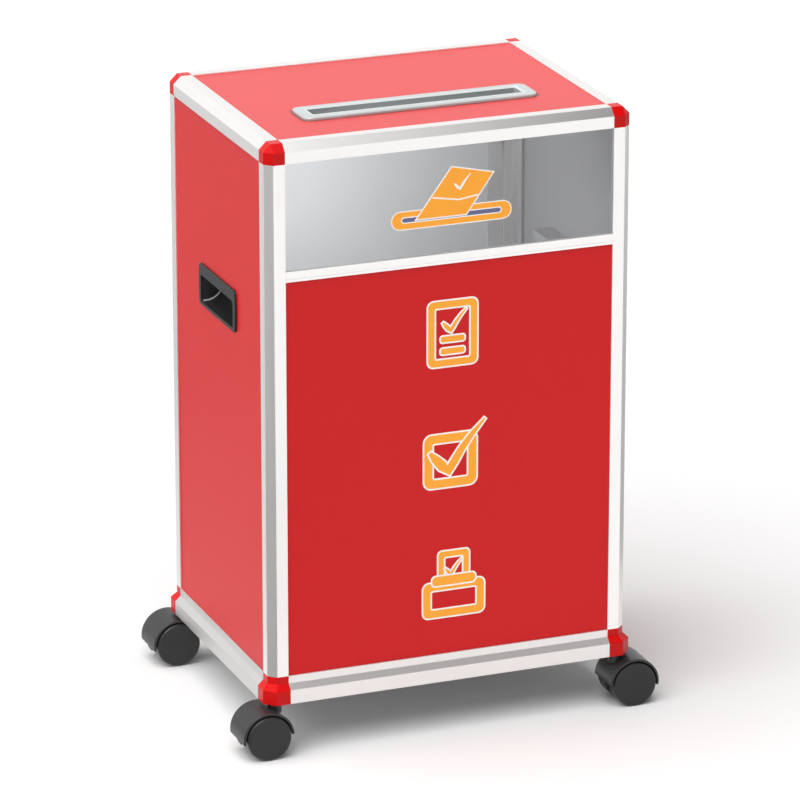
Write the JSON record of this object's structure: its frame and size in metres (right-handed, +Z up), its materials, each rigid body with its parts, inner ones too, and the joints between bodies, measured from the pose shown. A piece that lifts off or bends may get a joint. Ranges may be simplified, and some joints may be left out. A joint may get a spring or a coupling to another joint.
{
  "type": "ballot box",
  "caption": "Upright wheeled ballot box with an aluminium edge frame, sheet panels, a clear front window, a posting slot in the lid, side pulls and a locking back door.",
  "frame": {"origin": "on the floor, under the middle of the box", "axes": "+Z up, +Y from the window at the front to the door at the back, +X to the right of someone facing the window"},
  "size_m": [0.468, 0.332, 0.6574],
  "materials": {
    "frame_aluminium": "satin anodised",
    "corner_red": "moulded gloss",
    "sheet_red": "satin coated aluminium-faced board",
    "sheet_grey": "satin coated aluminium-faced board",
    "window_clear": "clear acrylic",
    "bezel_silver": "moulded satin",
    "pull_black": "fine textured",
    "caster_black": "fine textured",
    "wheel_black": "smooth moulded",
    "plain_steel": "zinc plated",
    "lock_chrome": "bright"
  },
  "bodies": {
    "root": {"base_rail_back": "frame_aluminium", "base_rail_front": "frame_aluminium", "base_rail_left": "frame_aluminium", "base_rail_right": "frame_aluminium", "caster_stems": "plain_steel", "corner_base_back_left": "corner_red", "corner_base_back_right": "corner_red", "corner_base_front_left": "corner_red", "corner_base_front_right": "corner_red", "corner_top_back_left": "corner_red", "corner_top_back_right": "corner_red", "corner_top_front_left": "corner_red", "corner_top_front_right": "corner_red", "floor_panel": "sheet_grey", "front_panel": "sheet_red", "hinge_leaves_frame": "plain_steel", "hinge_pins": "plain_steel", "lid_panel": "sheet_red", "mid_rail": "frame_aluminium", "post_back_left": "frame_aluminium", "post_back_right": "frame_aluminium", "post_front_left": "frame_aluminium", "post_front_right": "frame_aluminium", "pull_left": "pull_black", "pull_right": "pull_black", "side_panel_left": "sheet_red", "side_panel_right": "sheet_red", "slot_bezel": "bezel_silver", "top_rail_back": "frame_aluminium", "top_rail_front": "frame_aluminium", "top_rail_left": "frame_aluminium", "top_rail_right": "frame_aluminium", "window": "window_clear"},
    "door": {"door_panel": "sheet_red", "door_rail_high": "frame_aluminium", "door_rail_low": "frame_aluminium", "door_stile_hinge": "frame_aluminium", "door_stile_lock": "frame_aluminium", "hinge_leaves_door": "plain_steel", "lock_barrel": "lock_chrome", "lock_nut": "plain_steel"},
    "lock_cam": {"lock_plug": "lock_chrome", "lock_cam": "plain_steel", "lock_screw": "plain_steel"},
    "caster_front_left": {"caster_hood_front_left": "caster_black", "caster_axle_front_left": "plain_steel"},
    "wheel_outer_front_left": {"wheel_outer_front_left": "wheel_black"},
    "wheel_inner_front_left": {"wheel_inner_front_left": "wheel_black"},
    "caster_front_right": {"caster_hood_front_right": "caster_black", "caster_axle_front_right": "plain_steel"},
    "wheel_outer_front_right": {"wheel_outer_front_right": "wheel_black"},
    "wheel_inner_front_right": {"wheel_inner_front_right": "wheel_black"},
    "caster_back_left": {"caster_hood_back_left": "caster_black", "caster_axle_back_left": "plain_steel"},
    "wheel_outer_back_left": {"wheel_outer_back_left": "wheel_black"},
    "wheel_inner_back_left": {"wheel_inner_back_left": "wheel_black"},
    "caster_back_right": {"caster_hood_back_right": "caster_black", "caster_axle_back_right": "plain_steel"},
    "wheel_outer_back_right": {"wheel_outer_back_right": "wheel_black"},
    "wheel_inner_back_right": {"wheel_inner_back_right": "wheel_black"}
  },
  "joints": [
    {"name": "door_hinge", "type": "hinge", "parent": "root", "child": "door", "pos_m": [0.17875, 0.1543, 0.3605], "axis": [0, 0, -1], "range_deg": [0, 170]},
    {"name": "lock_cam_turn", "type": "hinge", "parent": "door", "child": "lock_cam", "pos_m": [-0.15, 0.1434, 0.36025], "axis": [0, 1, 0], "range_deg": [0, 90]},
    {"name": "caster_front_left_swivel", "type": "hinge", "parent": "root", "child": "caster_front_left", "pos_m": [-0.192, -0.142, 0.055], "axis": [0, 0, 1], "continuous": true},
    {"name": "wheel_outer_front_left_spin", "type": "hinge", "parent": "caster_front_left", "child": "wheel_outer_front_left", "pos_m": [-0.206, -0.142, 0.024], "axis": [0, 1, 0], "continuous": true},
    {"name": "wheel_inner_front_left_spin", "type": "hinge", "parent": "caster_front_left", "child": "wheel_inner_front_left", "pos_m": [-0.206, -0.142, 0.024], "axis": [0, 1, 0], "continuous": true},
    {"name": "caster_front_right_swivel", "type": "hinge", "parent": "root", "child": "caster_front_right", "pos_m": [0.192, -0.142, 0.055], "axis": [0, 0, 1], "continuous": true},
    {"name": "wheel_outer_front_right_spin", "type": "hinge", "parent": "caster_front_right", "child": "wheel_outer_front_right", "pos_m": [0.206, -0.142, 0.024], "axis": [0, 1, 0], "continuous": true},
    {"name": "wheel_inner_front_right_spin", "type": "hinge", "parent": "caster_front_right", "child": "wheel_inner_front_right", "pos_m": [0.206, -0.142, 0.024], "axis": [0, 1, 0], "continuous": true},
    {"name": "caster_back_left_swivel", "type": "hinge", "parent": "root", "child": "caster_back_left", "pos_m": [-0.192, 0.142, 0.055], "axis": [0, 0, 1], "continuous": true},
    {"name": "wheel_outer_back_left_spin", "type": "hinge", "parent": "caster_back_left", "child": "wheel_outer_back_left", "pos_m": [-0.206, 0.142, 0.024], "axis": [0, 1, 0], "continuous": true},
    {"name": "wheel_inner_back_left_spin", "type": "hinge", "parent": "caster_back_left", "child": "wheel_inner_back_left", "pos_m": [-0.206, 0.142, 0.024], "axis": [0, 1, 0], "continuous": true},
    {"name": "caster_back_right_swivel", "type": "hinge", "parent": "root", "child": "caster_back_right", "pos_m": [0.192, 0.142, 0.055], "axis": [0, 0, 1], "continuous": true},
    {"name": "wheel_outer_back_right_spin", "type": "hinge", "parent": "caster_back_right", "child": "wheel_outer_back_right", "pos_m": [0.206, 0.142, 0.024], "axis": [0, 1, 0], "continuous": true},
    {"name": "wheel_inner_back_right_spin", "type": "hinge", "parent": "caster_back_right", "child": "wheel_inner_back_right", "pos_m": [0.206, 0.142, 0.024], "axis": [0, 1, 0], "continuous": true}
  ]
}
